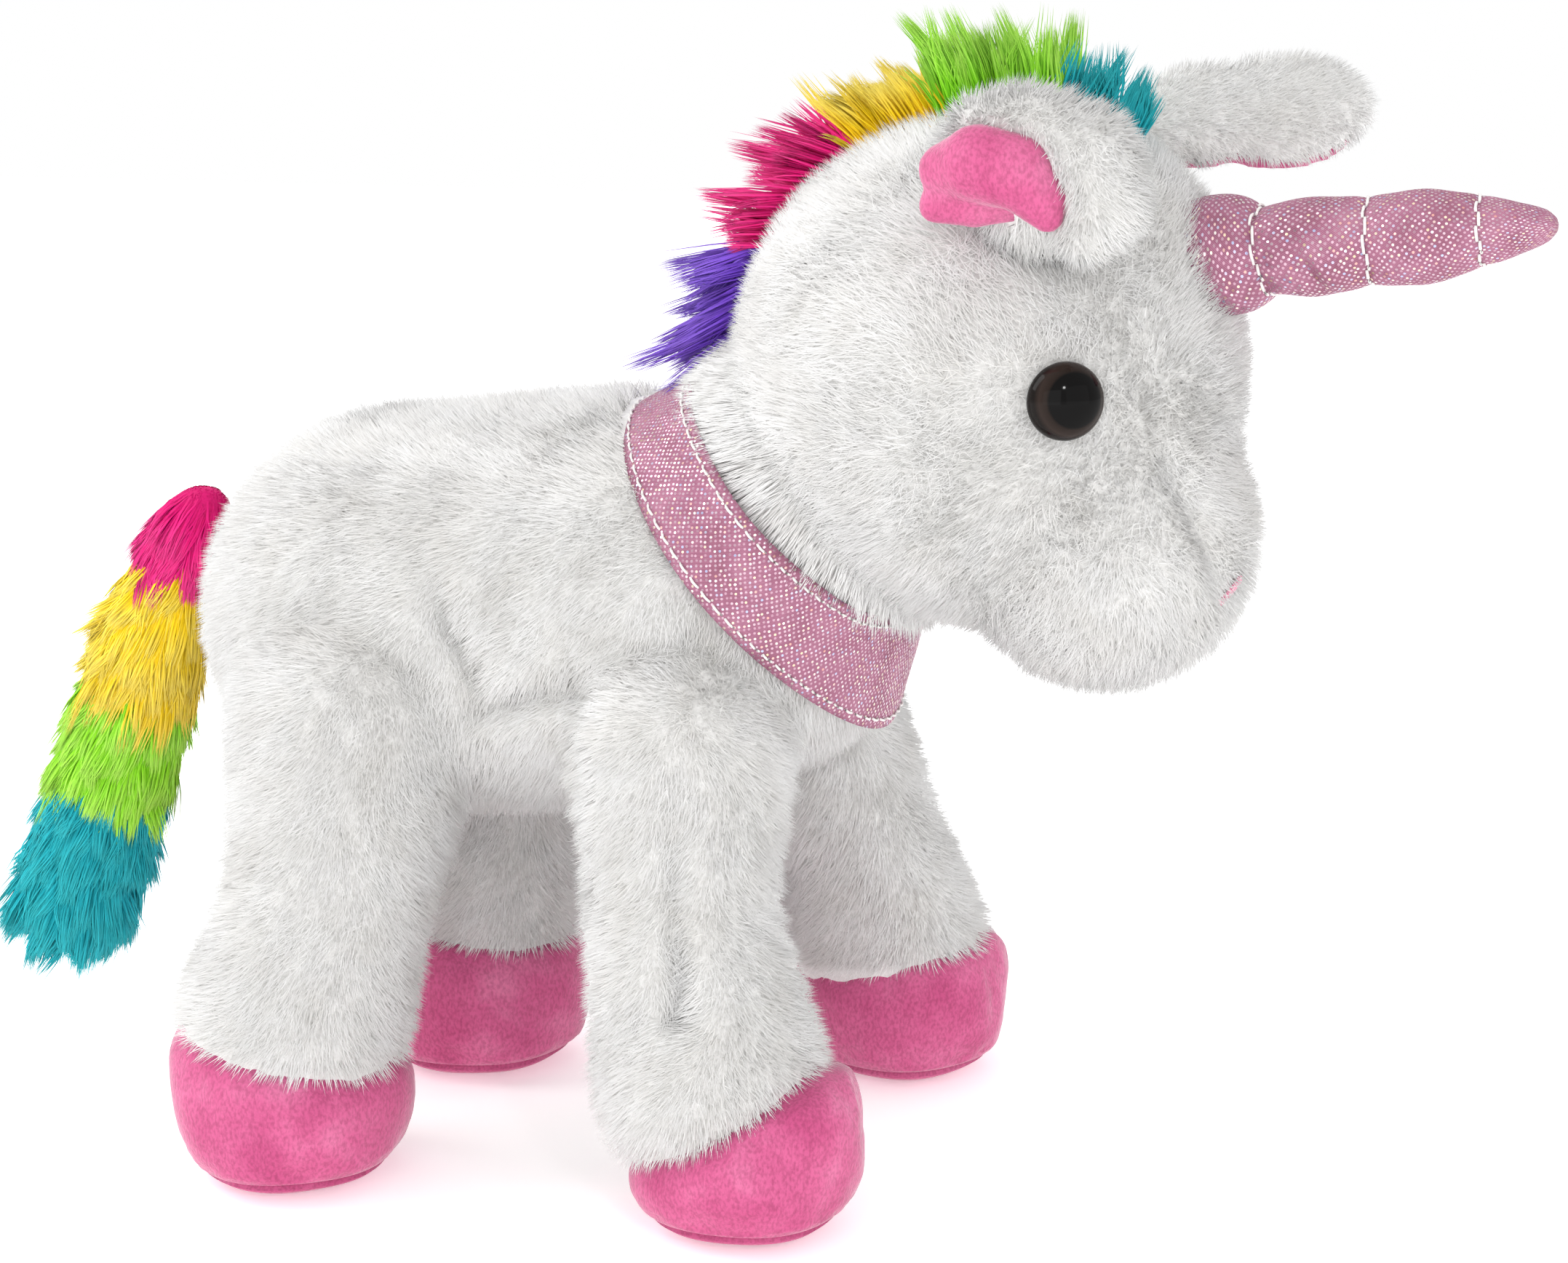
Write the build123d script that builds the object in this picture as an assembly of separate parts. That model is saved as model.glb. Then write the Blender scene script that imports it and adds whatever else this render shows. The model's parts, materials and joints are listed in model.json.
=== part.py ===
from build123d import *
import math
import os

# Standing plush unicorn, in millimetres. +Z is up, the face looks along -Y and the animal's
# left side is at +X. Places are worked out from the middle of the body's width, and every
# finished piece is then moved so that the origin is under the middle of the whole toy.
MIDDLE_X, MIDDLE_Y = 4.9, 22.4

# Sewn covers: long-pile plush, short velboa on the hooves, and the gap to the filling.
PLUSH = 2.4
VELBOA = 1.6
FOIL_CLOTH = 1.0
FILL_GAP = 0.3

# Body: a round-ended barrel lying along Y.
BODY_R = 45.0
BODY_Z = 113.0
BODY_FRONT_Y, BODY_BACK_Y = 28.0, 91.0
BELLY_HALF_WIDTH, BELLY_TOP_Z = 16.0, 80.0

# Neck: a ball between body and head. The head's axis and the collar's axis leave it upwards
# and forwards, at these angles from +Y.
NECK = (0.0, 6.0, 133.0)
NECK_R = 38.0
HEAD_AXIS_DEG, COLLAR_AXIS_DEG = 141.5, 137.0
NECK_TUBE_HALF = 20.0
HEAD_RECESS_R = 38.5

# Collar: a lined band round the neck ball with a rounded point at the chest.
LINING_R, BAND_R, COLLAR_OUT_R = 38.4, 39.5, 41.0
COLLAR_HALF_WIDTH = 9.0
COLLAR_POINT, COLLAR_POINT_HALF_WIDTH = 17.0, 24.0
STITCH_R = 0.3
STITCH_INSET = 2.2
SOCKET_R = 42.3
BODY_CUT_OFFSET = 5.0

# Head: a skull ball and a muzzle ball.
SKULL = (0.0, -38.0, 168.0)
SKULL_R = 51.0
MUZZLE = (0.0, -60.0, 137.0)
MUZZLE_R = 31.0
GUSSET_HALF_WIDTH, GUSSET_BACK_Y, GUSSET_LOW_Z = 17.0, -56.0, 118.0

# Eyes: a domed button with a shank, locked by a washer inside the cover.
EYE_R, EYE_DOME = 7.3, 4.2
EYE_SEAT = 0.8
SHANK_R, SHANK_LENGTH = 1.9, 11.0
WASHER_R, WASHER_THICK, WASHER_DEPTH = 6.5, 1.6, 5.2
EYE_TOWARDS = (43.0, -27.0, 0.0)

# Stitched nose: two short bars on the front of the muzzle.
NOSE_BAR = (7.0, 1.6)
NOSE_X, NOSE_Z = 7.0, 128.0
NOSE_RAISED = 0.7

# Mane: a tape over the back of the head, and the hair of each colour as a sector.
# The angles are about the skull's centre, from +Y towards +Z.
MANE_TAPE_HALF_WIDTH, MANE_HAIR_HALF_WIDTH = 5.5, 7.0
MANE_TAPE_R, MANE_HAIR_R, MANE_TOP_R = 51.3, 52.6, 64.0
MANE_START_DEG = 6.0
MANE_COLOURS = (("purple", 22.0), ("magenta", 54.0), ("yellow", 78.0),
                ("green", 106.0), ("teal", 124.0))

# Ears: a plush leaf curled round its length, with a velboa lining under it.
EAR_LENGTH, EAR_WIDTH = 46.0, 28.0
EAR_CURL_R = 15.0
EAR_LINING_THICK, EAR_LINING_INSET = 1.4, 3.0
EAR_GAP = 2.8
# side: (place on the skull from its centre, direction of the ear)
EARS = {
    "right": ((-27.0, -17.0, 39.0), (-0.96, -0.08, 0.22)),
    "left": ((31.0, -22.0, 34.0), (0.64, -0.62, 0.42)),
}

# Horn: a stuffed cloth spike in four bulges, with a thread drawn tight between them.
HORN_ROOT = (0.0, -83.5, 190.8)
HORN_TIP = (0.0, -146.0, 199.6)
HORN_BALL_R = 11.8
HORN_WAISTS = ((9.3, 7.3), (29.0, 7.4), (49.5, 6.0))
HORN_BULGES = ((19.0, 9.0), (39.5, 8.7))
HORN_TIP_BULGE, HORN_TIP_R = (56.0, 5.3), 1.9
HORN_GAP = 0.5
THREAD_R, THREAD_LIFT, THREAD_SHIFT = 0.45, 0.85, 0.1

# Legs: a ball in the body, a shaft that widens downwards and a hoof with a sewn-in sole.
# The hip and the middle of the hoof on the floor, for each leg.
LEGS = {
    "front_right": ((-36.0, 14.0, 78.0), (-41.0, -1.0)),
    "front_left": ((38.0, 12.0, 78.0), (59.0, -2.0)),
    "rear_right": ((-34.0, 88.0, 82.0), (-48.0, 96.0)),
    "rear_left": ((34.0, 86.0, 82.0), (29.0, 90.0)),
}
HIP_BALL_R = {"front": 22.0, "rear": 25.0}
LEG_TOP_R = 18.0
LEG_LOW_R = 23.5
HIP_GAP = 0.5
HOOF_R, HOOF_MIDDLE_Z, SOLE_R = 23.0, 15.0, 16.5
HOOF_TOP_Z = 33.0
SOLE_SEAM_Z = 4.0
HOOF_BODY_HEIGHT = 60.0

# Tail: one soft length of banded pile on a filled core, hinged on the rump.
TAIL_ROOT = (0.0, 144.0, 126.0)
TAIL_TIP = (0.0, 180.5, 24.0)
TAIL_ROOT_R, TAIL_GAP = 9.0, 0.6
TAIL_SHOULDER, TAIL_BELLY_R = (30.0, 14.0), 15.5
TAIL_CORE_R = 7.0
TAIL_COLOURS = (("magenta", 32.0), ("yellow", 58.0), ("green", 84.0), ("teal", 140.0))

FAR = 400.0
frame_shift = Pos(-MIDDLE_X, -MIDDLE_Y, 0)


def ball(centre, radius):
    return Pos(*centre) * Sphere(radius)


def box(low, high):
    size = [b - a for a, b in zip(low, high)]
    return Pos(*[(a + b) / 2 for a, b in zip(low, high)]) * Box(*size)


def towards(start, end):
    """A plane at start whose z axis points at end."""
    return Plane(origin=start, z_dir=Vector(*end) - Vector(*start))


def turned(outline):
    """A solid of revolution about Z from an outline of (radius, height) edges."""
    return revolve(make_face(Plane.XZ * Wire(outline)), axis=Axis.Z)


def beyond(angle_deg, offset):
    """All space past a plane across the neck: its normal leaves the neck at the angle."""
    angle = math.radians(angle_deg)
    normal = Vector(0, math.cos(angle), math.sin(angle))
    plane = Plane(origin=Vector(*NECK) + normal * offset, z_dir=normal)
    return plane * Pos(0, 0, FAR / 2) * Box(FAR, FAR, FAR)


def save(name, solid):
    export_step(frame_shift * solid, f"parts/{name}.step")


# ---- body ----

def barrel(radius):
    length = BODY_BACK_Y - BODY_FRONT_Y
    outline = [
        ThreePointArc((0, -radius), (radius * math.sqrt(0.5), -radius * math.sqrt(0.5)), (radius, 0)),
        Line((radius, 0), (radius, length)),
        ThreePointArc((radius, length), (radius * math.sqrt(0.5), length + radius * math.sqrt(0.5)),
                      (0, length + radius)),
        Line((0, length + radius), (0, -radius)),
    ]
    return Plane(origin=(0, BODY_FRONT_Y, BODY_Z), z_dir=(0, 1, 0)) * turned(outline)


def body_room():
    """What the body leaves free: the neck, the balls of the legs and the tail's root."""
    room = [ball(NECK, SOCKET_R), beyond(COLLAR_AXIS_DEG, BODY_CUT_OFFSET)]
    room.append(ball(TAIL_ROOT, TAIL_ROOT_R + TAIL_GAP))
    for name, (hip, _) in LEGS.items():
        room.append(ball(hip, HIP_BALL_R[name.split("_")[0]] + HIP_GAP))
    return room


def build_body():
    room = body_room()
    shell = barrel(BODY_R) - barrel(BODY_R - PLUSH)
    belly_box = box((-BELLY_HALF_WIDTH, -FAR, 0), (BELLY_HALF_WIDTH, FAR, BELLY_TOP_Z))
    half = box((0, -FAR, 0), (FAR, FAR, FAR))
    save("body_side_left", (shell & half) - belly_box - room)
    save("body_side_right", (shell - half) - belly_box - room)
    save("belly_gusset", (shell & belly_box) - room)
    save("body_stuffing", barrel(BODY_R - PLUSH - FILL_GAP) - room)
    seam_z = BODY_Z - math.sqrt(BODY_R**2 - BELLY_HALF_WIDTH**2) - STITCH_R - 0.1
    seam = Plane(origin=(BELLY_HALF_WIDTH, 50, seam_z), z_dir=(0, 1, 0))
    save("closing_seam_thread", seam * Cylinder(STITCH_R, 22))


# ---- neck and collar ----

def neck_zone(inner, outer, angle_deg, low, high):
    shell = ball(NECK, outer) - ball(NECK, inner)
    return shell - beyond(angle_deg, high) - beyond(angle_deg + 180, -low)


def collar_layer(inner, outer, inset):
    """A band of the neck ball's skin with a rounded point hanging at the chest."""
    low = -COLLAR_HALF_WIDTH + inset
    band = neck_zone(inner, outer, COLLAR_AXIS_DEG, low, COLLAR_HALF_WIDTH - inset)
    angle = math.radians(COLLAR_AXIS_DEG)
    down_front = Vector(0, -math.sin(angle), math.cos(angle))
    if down_front.Z > 0:
        down_front = -down_front
    chest = Plane(origin=NECK, x_dir=(1, 0, 0), z_dir=down_front)
    half_width, point = COLLAR_POINT_HALF_WIDTH - inset, COLLAR_POINT - inset
    tab = make_face(Polyline((-half_width, low + 1), (0, -point), (half_width, low + 1), close=True))
    tab = fillet(tab.vertices().sort_by(Axis.Y)[0], 4)
    wedge = extrude(chest * tab, FAR, dir=down_front)
    point_piece = (ball(NECK, outer) - ball(NECK, inner)) & wedge
    return band + point_piece


def stitch_ring(offset):
    radius = math.sqrt((COLLAR_OUT_R + STITCH_R + 0.1) ** 2 - offset**2)
    angle = math.radians(COLLAR_AXIS_DEG)
    normal = Vector(0, math.cos(angle), math.sin(angle))
    return Plane(origin=Vector(*NECK) + normal * offset, z_dir=normal) * Torus(radius, STITCH_R)


def build_neck():
    half = NECK_TUBE_HALF
    save("neck_cover", neck_zone(NECK_R - PLUSH, NECK_R, HEAD_AXIS_DEG, -half, half))
    save("neck_stuffing", ball(NECK, NECK_R - PLUSH - FILL_GAP))
    save("collar_lining", collar_layer(LINING_R, BAND_R - 0.1, 0.8))
    save("collar_band", collar_layer(BAND_R, COLLAR_OUT_R, 0))
    edge = COLLAR_HALF_WIDTH - STITCH_INSET
    save("collar_topstitch", Compound([stitch_ring(edge), stitch_ring(-edge)]))


# ---- head ----

def head_form(inset):
    return ball(SKULL, SKULL_R - inset) + ball(MUZZLE, MUZZLE_R - inset)


def eye_plane(side):
    outward = Vector(side * EYE_TOWARDS[0], EYE_TOWARDS[1], EYE_TOWARDS[2]).normalized()
    return Plane(origin=Vector(*SKULL) + outward * SKULL_R, z_dir=outward)


def eye_outline():
    rim, height = EYE_R, EYE_DOME + EYE_SEAT
    dome_r = (rim**2 + height**2) / (2 * height)
    half_angle = math.asin(rim / dome_r) / 2
    middle = (dome_r * math.sin(half_angle), EYE_DOME - dome_r * (1 - math.cos(half_angle)))
    return [
        Line((0, -SHANK_LENGTH), (SHANK_R, -SHANK_LENGTH)),
        Line((SHANK_R, -SHANK_LENGTH), (SHANK_R, -EYE_SEAT)),
        Line((SHANK_R, -EYE_SEAT), (rim, -EYE_SEAT)),
        ThreePointArc((rim, -EYE_SEAT), middle, (0, EYE_DOME)),
        Line((0, EYE_DOME), (0, -SHANK_LENGTH)),
    ]


def washer():
    ring = Cylinder(WASHER_R, WASHER_THICK) - Cylinder(SHANK_R + 0.1, 2 * WASHER_THICK)
    return Pos(0, 0, -WASHER_DEPTH + WASHER_THICK / 2) * ring


def head_room():
    """What the head's cover and filling leave free: neck, horn root, eyes and washers."""
    room = [ball(NECK, HEAD_RECESS_R), ball(HORN_ROOT, HORN_BALL_R + HORN_GAP)]
    seat = Pos(0, 0, -EYE_SEAT - 0.05 + 5) * Cylinder(EYE_R + 0.2, 10)
    shank = Pos(0, 0, -SHANK_LENGTH / 2) * Cylinder(SHANK_R + 0.1, SHANK_LENGTH + 0.4)
    for side in (-1, 1):
        room += [eye_plane(side) * seat, eye_plane(side) * shank]
    return room


def washer_pockets():
    depth = -PLUSH - FILL_GAP - WASHER_DEPTH
    pocket = Pos(0, 0, depth / 2) * Cylinder(WASHER_R + 0.2, -depth)
    return [eye_plane(side) * pocket for side in (-1, 1)]


def build_head():
    room = head_room()
    shell = head_form(0) - head_form(PLUSH) - room
    gusset_box = box((-GUSSET_HALF_WIDTH, -FAR, GUSSET_LOW_Z), (GUSSET_HALF_WIDTH, GUSSET_BACK_Y, FAR))
    half = box((0, -FAR, 0), (FAR, FAR, FAR))
    save("head_side_left", (shell & half) - gusset_box)
    save("head_side_right", (shell - half) - gusset_box)
    save("forehead_gusset", shell & gusset_box)
    save("head_stuffing", head_form(PLUSH + FILL_GAP) - room - washer_pockets())
    for name, side in (("right", -1), ("left", 1)):
        save(f"eye_{name}", eye_plane(side) * turned(eye_outline()))
        save(f"eye_washer_{name}", eye_plane(side) * washer())
    save("nose_stitches", Compound([nose_bar(-1), nose_bar(1)]))


def nose_bar(side):
    length, width = NOSE_BAR
    skin = ball(MUZZLE, MUZZLE_R + NOSE_RAISED) - ball(MUZZLE, MUZZLE_R + 0.1)
    across = Plane(origin=(side * NOSE_X, MUZZLE[1], NOSE_Z), z_dir=(0, -1, 0))
    return skin & (across * Rot(0, 0, side * 55) * Pos(0, 0, FAR / 2) * Box(length, width, FAR))


# ---- mane ----

def mane_sector(half_width, inner, outer, start_deg, end_deg):
    middle = (inner + outer) / 2
    strip = Plane.XY * Pos(0, middle) * Rectangle(2 * half_width, outer - inner)
    sector = revolve(strip, axis=Axis.X, revolution_arc=end_deg - start_deg)
    return Pos(*SKULL) * Rot(start_deg, 0, 0) * sector


def build_mane():
    last = MANE_COLOURS[-1][1]
    save("mane_tape", mane_sector(MANE_TAPE_HALF_WIDTH, MANE_TAPE_R, MANE_HAIR_R - 0.1,
                                  MANE_START_DEG, last))
    start = MANE_START_DEG
    for colour, end in MANE_COLOURS:
        save(f"mane_{colour}", mane_sector(MANE_HAIR_HALF_WIDTH, MANE_HAIR_R, MANE_TOP_R, start, end))
        start = end


# ---- ears ----

def ear_place(side):
    """The root on the skull, with z along the ear and y up through its curled back."""
    outward, direction = EARS[side]
    root = Vector(*SKULL) + Vector(*outward).normalized() * SKULL_R
    along = Vector(*direction).normalized()
    width = Vector(0, 0, 1).cross(along).normalized()
    return Plane(origin=root, x_dir=width, z_dir=along)


def ear_leaf(inner, outer, inset):
    tube = Cylinder(outer, 2 * EAR_LENGTH) - Cylinder(inner, 4 * EAR_LENGTH)
    leaf = Ellipse(EAR_LENGTH / 2 - inset, EAR_WIDTH / 2 - inset)
    prism = Plane(origin=(0, 0, EAR_LENGTH / 2), x_dir=(0, 0, 1), z_dir=(0, 1, 0)) * leaf
    return Pos(0, -EAR_CURL_R, 0) * tube & extrude(prism, 2 * EAR_CURL_R, both=True)


def upper_part(piece):
    """The half of the curled leaf above the middle of its curl."""
    return piece & (Pos(0, FAR / 2 - EAR_CURL_R, 0) * Box(FAR, FAR, FAR))


def build_ears():
    for side in EARS:
        plane = ear_place(side)
        clear = ball(SKULL, SKULL_R + EAR_GAP)
        lining_out = EAR_CURL_R - 0.1
        outer = upper_part(ear_leaf(EAR_CURL_R, EAR_CURL_R + PLUSH, 0))
        lining = upper_part(ear_leaf(lining_out - EAR_LINING_THICK, lining_out, EAR_LINING_INSET))
        save(f"ear_{side}_outer", plane * outer - clear)
        save(f"ear_{side}_lining", plane * lining - clear)


# ---- horn ----

def horn_form(inset):
    """The horn as a solid of revolution, each outline point moved in by the inset."""
    root_r = HORN_BALL_R - inset
    waists = [(radius - inset, height) for height, radius in HORN_WAISTS]
    bulges = [(radius - inset, height) for height, radius in HORN_BULGES]
    height, radius = HORN_TIP_BULGE
    length = (Vector(*HORN_TIP) - Vector(*HORN_ROOT)).length - inset
    tip = (HORN_TIP_R - inset, length - HORN_TIP_R)
    first = waists[0]
    side = math.asin(first[1] / root_r)
    middle = (root_r * math.cos(side / 2), root_r * math.sin(side / 2))
    first = (root_r * math.cos(side), root_r * math.sin(side))
    outline = [
        ThreePointArc((0, -root_r), (root_r * math.sqrt(0.5), -root_r * math.sqrt(0.5)), (root_r, 0)),
        ThreePointArc((root_r, 0), middle, first),
        ThreePointArc(first, bulges[0], waists[1]),
        ThreePointArc(waists[1], bulges[1], waists[2]),
        ThreePointArc(waists[2], (radius - inset, height), tip),
        Line(tip, (0, length)),
        Line((0, length), (0, -root_r)),
    ]
    return turned(outline)


def build_horn():
    plane = towards(HORN_ROOT, HORN_TIP)
    rings = [Pos(0, 0, height + THREAD_SHIFT) * Torus(radius + THREAD_LIFT, THREAD_R)
             for height, radius in HORN_WAISTS]
    save("horn_cover", plane * (horn_form(0) - horn_form(FOIL_CLOTH)))
    save("horn_stuffing", plane * horn_form(FOIL_CLOTH + FILL_GAP))
    save("horn_thread", Compound([plane * ring for ring in rings]))


# ---- legs ----

def leg_plane(name):
    hip, foot = LEGS[name]
    return towards(hip, (*foot, HOOF_MIDDLE_Z))


def leg_length(name):
    """From the hip to the line where plush meets hoof, along the leg."""
    hip, foot = LEGS[name]
    whole = (Vector(*foot, HOOF_MIDDLE_Z) - Vector(*hip)).length
    return whole * (hip[2] - HOOF_TOP_Z) / (hip[2] - HOOF_MIDDLE_Z)


def leg_shaft(name, grow):
    length = leg_length(name)
    cone = Cone(LEG_TOP_R + grow, LEG_LOW_R + grow, length)
    return leg_plane(name) * Pos(0, 0, length / 2) * cone


def leg_form(name, inset):
    hip = LEGS[name][0]
    return ball(hip, HIP_BALL_R[name.split("_")[0]] - inset) + leg_shaft(name, -inset)


def hoof_form(name, inset):
    """A round block with a flat sole, cut off square to the leg where the plush begins."""
    foot = LEGS[name][1]
    side, sole, low = HOOF_R - inset, SOLE_R - inset / 2, inset
    edge = math.sqrt(0.5)
    outline = [
        Line((0, low), (sole, low)),
        ThreePointArc((sole, low), (sole + (side - sole) * edge, HOOF_MIDDLE_Z * (1 - edge) + low),
                      (side, HOOF_MIDDLE_Z)),
        Line((side, HOOF_MIDDLE_Z), (side, HOOF_BODY_HEIGHT)),
        Line((side, HOOF_BODY_HEIGHT), (0, HOOF_BODY_HEIGHT)),
        Line((0, HOOF_BODY_HEIGHT), (0, low)),
    ]
    above = leg_plane(name) * Pos(0, 0, leg_length(name) - FAR / 2) * Box(FAR, FAR, FAR)
    return Pos(*foot, 0) * turned(outline) - above


def build_leg(name):
    cover = leg_form(name, 0) - leg_form(name, PLUSH)
    outer_half = leg_half(name, -1 if name.endswith("right") else 1)
    save(f"leg_{name}_outer", cover & outer_half)
    save(f"leg_{name}_inner", cover - outer_half)
    hoof = hoof_form(name, 0) - hoof_form(name, VELBOA)
    sole_space = box((-FAR, -FAR, -1), (FAR, FAR, SOLE_SEAM_Z))
    save(f"hoof_{name}_cover", hoof - sole_space)
    save(f"hoof_{name}_sole", hoof & sole_space)
    filling = leg_form(name, PLUSH + FILL_GAP) + hoof_form(name, PLUSH + FILL_GAP)
    save(f"leg_{name}_stuffing", filling)


def leg_half(name, side):
    """The space on the outer side of a leg, split along the leg's length."""
    plane = leg_plane(name)
    across = Vector(side, 0, 0)
    outward = (across - plane.z_dir * across.dot(plane.z_dir)).normalized()
    split = Plane(origin=plane.origin, x_dir=plane.z_dir, z_dir=outward)
    return split * Pos(0, 0, FAR / 2) * Box(FAR, FAR, FAR)


# ---- tail ----

def tail_form():
    """The outside of the tail's pile: a narrow root, a shoulder and a full, rounded end."""
    length = (Vector(*TAIL_TIP) - Vector(*TAIL_ROOT)).length
    shoulder_height, shoulder_r = TAIL_SHOULDER
    end_start = length - TAIL_BELLY_R
    outline = [
        ThreePointArc((0, -TAIL_ROOT_R), (TAIL_ROOT_R * math.sqrt(0.5), -TAIL_ROOT_R * math.sqrt(0.5)),
                      (TAIL_ROOT_R, 0)),
        Line((TAIL_ROOT_R, 0), (shoulder_r, shoulder_height)),
        Line((shoulder_r, shoulder_height), (TAIL_BELLY_R, end_start)),
        ThreePointArc((TAIL_BELLY_R, end_start),
                      (TAIL_BELLY_R * math.sqrt(0.5), end_start + TAIL_BELLY_R * math.sqrt(0.5)),
                      (0, length)),
        Line((0, length), (0, -TAIL_ROOT_R)),
    ]
    return turned(outline)


def build_tail():
    plane = towards(TAIL_ROOT, TAIL_TIP)
    length = (Vector(*TAIL_TIP) - Vector(*TAIL_ROOT)).length
    core_end = length - TAIL_BELLY_R
    core = Pos(0, 0, core_end / 2) * Cylinder(TAIL_CORE_R, core_end)
    core_room = Pos(0, 0, core_end / 2) * Cylinder(TAIL_CORE_R + FILL_GAP, core_end + 2 * FILL_GAP)
    save("tail_core", plane * core)
    pile = tail_form() - core_room
    start = -TAIL_ROOT_R - 1
    for colour, end in TAIL_COLOURS:
        band = pile & box((-FAR, -FAR, start), (FAR, FAR, end))
        save(f"tail_{colour}", plane * band)
        start = end


os.makedirs("parts", exist_ok=True)
build_body()
build_neck()
build_head()
build_mane()
build_ears()
build_horn()
for leg_name in LEGS:
    build_leg(leg_name)
build_tail()
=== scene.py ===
"""A standing plush unicorn: fur, foil cloth, velboa and eyes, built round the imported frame."""
import json
import math
import bpy
import numpy as np
from mathutils import Matrix, Vector
from mathutils.bvhtree import BVHTree
from mathutils.kdtree import KDTree


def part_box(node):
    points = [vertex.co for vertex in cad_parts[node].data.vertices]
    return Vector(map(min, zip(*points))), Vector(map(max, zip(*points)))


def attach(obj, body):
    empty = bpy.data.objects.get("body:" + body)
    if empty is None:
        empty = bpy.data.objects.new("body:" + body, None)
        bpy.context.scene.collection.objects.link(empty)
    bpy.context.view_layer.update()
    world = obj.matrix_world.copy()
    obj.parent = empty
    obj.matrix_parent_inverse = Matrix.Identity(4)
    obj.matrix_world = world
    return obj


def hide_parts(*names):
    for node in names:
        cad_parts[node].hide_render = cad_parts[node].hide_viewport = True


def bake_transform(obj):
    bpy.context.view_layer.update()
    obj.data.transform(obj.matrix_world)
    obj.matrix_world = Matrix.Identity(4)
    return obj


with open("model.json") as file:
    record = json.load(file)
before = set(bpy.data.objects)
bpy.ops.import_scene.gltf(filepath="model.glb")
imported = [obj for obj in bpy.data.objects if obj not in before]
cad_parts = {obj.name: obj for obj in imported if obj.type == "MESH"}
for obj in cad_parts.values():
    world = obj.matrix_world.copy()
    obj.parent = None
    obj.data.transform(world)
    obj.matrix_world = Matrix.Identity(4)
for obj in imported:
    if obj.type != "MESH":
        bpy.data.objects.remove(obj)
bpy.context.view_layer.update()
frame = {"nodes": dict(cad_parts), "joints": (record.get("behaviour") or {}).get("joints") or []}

MM = 0.001
SEED = 29


def joint(name):
    """Where a joint sits at rest."""
    return Vector(next(j["pos_m"] for j in frame["joints"] if j["name"] == name))


NECK = joint("neck_nod")
# The toy was drawn from a point on the floor, 6 mm in front of the neck's pivot and 133 mm
# below it; places in this file are given in millimetres from there.
DRAWN_FROM = NECK - Vector((0, 6, 133)) * MM


def at(x, y, z):
    """A drawn place in millimetres, as a point in the frame."""
    return DRAWN_FROM + Vector((x, y, z)) * MM


SKULL, MUZZLE = at(0, -38, 168), at(0, -60, 137)

# ---- materials


def colour(code):
    """An sRGB hex code as linear red, green, blue and alpha."""
    parts = [int(code[i:i + 2], 16) / 255 for i in (1, 3, 5)]
    return [c / 12.92 if c <= 0.04045 else ((c + 0.055) / 1.055) ** 2.4 for c in parts] + [1]


def add(tree, kind, links=(), **settings):
    """Adds a node; links are (input name or number, output socket), and settings are sockets
    or fields."""
    node = tree.nodes.new("ShaderNode" + kind)
    for name, value in settings.items():
        socket = name.replace("_", " ").title()
        if hasattr(node, name):
            setattr(node, name, value)
        else:
            node.inputs[socket].default_value = value
    for name, socket in links:
        tree.links.new(socket, node.inputs[name])
    return node


def ramp(tree, factor, *stops):
    """A colour ramp over (place, hex code) stops."""
    node = add(tree, "ValToRGB", [("Fac", factor)])
    while len(node.color_ramp.elements) < len(stops):
        node.color_ramp.elements.new(0.5)
    for element, (place, code) in zip(node.color_ramp.elements, stops):
        element.position, element.color = place, colour(code)
    return node.outputs["Color"]


def multiply(tree, first, second):
    """The product of two colours."""
    product = add(tree, "Mix", [(6, first), (7, second)], data_type="RGBA",
                  blend_type="MULTIPLY")
    product.inputs[0].default_value = 1.0
    return product.outputs[2]


def wire(tree, shader, **sources):
    """Links sockets to the shader's inputs, with _ for each space in a name."""
    for name, socket in sources.items():
        tree.links.new(socket, shader.inputs[name.replace("_", " ")])


def new_material(name, **settings):
    """A material with settings on its shader, and its node tree and shader."""
    material = bpy.data.materials.new(name)
    material.use_nodes = True
    tree = material.node_tree
    shader = tree.nodes["Principled BSDF"]
    for name, value in settings.items():
        socket = name.replace("_", " ").title().replace("Ior", "IOR")
        shader.inputs[socket].default_value = value
    return material, tree, shader


def pile_material(name, root, middle, tip, patch=12.0, roughness=0.75, **settings):
    """Fibre colour from root to tip, darker at the root as painted shade deep in the pile, and slow
    changes of tone from tuft to tuft.
    """
    material, tree, shader = new_material(name, Roughness=roughness, **settings)
    along = add(tree, "Attribute", attribute_name="along")
    place = add(tree, "TexCoord")
    tufts = add(tree, "TexNoise", [("Vector", place.outputs["Object"])],
                Scale=1 / (patch * MM), Detail=3.0, Roughness=0.6)
    # The fibre ramp is darker at the root: painted shade deep in the pile, lightening towards the
    # tip.
    fibre = ramp(tree, along.outputs["Fac"], (0.0, root), (0.45, middle), (1.0, tip))
    tone = ramp(tree, tufts.outputs["Fac"], (0.3, "#F5F4F2"), (0.6, "#FFFFFF"))
    wire(tree, shader, Base_Color=multiply(tree, fibre, tone))
    return material


# Pile colours go root, middle, tip; the darker root is painted shade deep in the pile.
WHITE_PLUSH = pile_material("polyester_plush_white_6mm_pile", "#F8F7F5", "#FCFBFA", "#FDFDFC",
                            Sheen_Weight=0.15)
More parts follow.
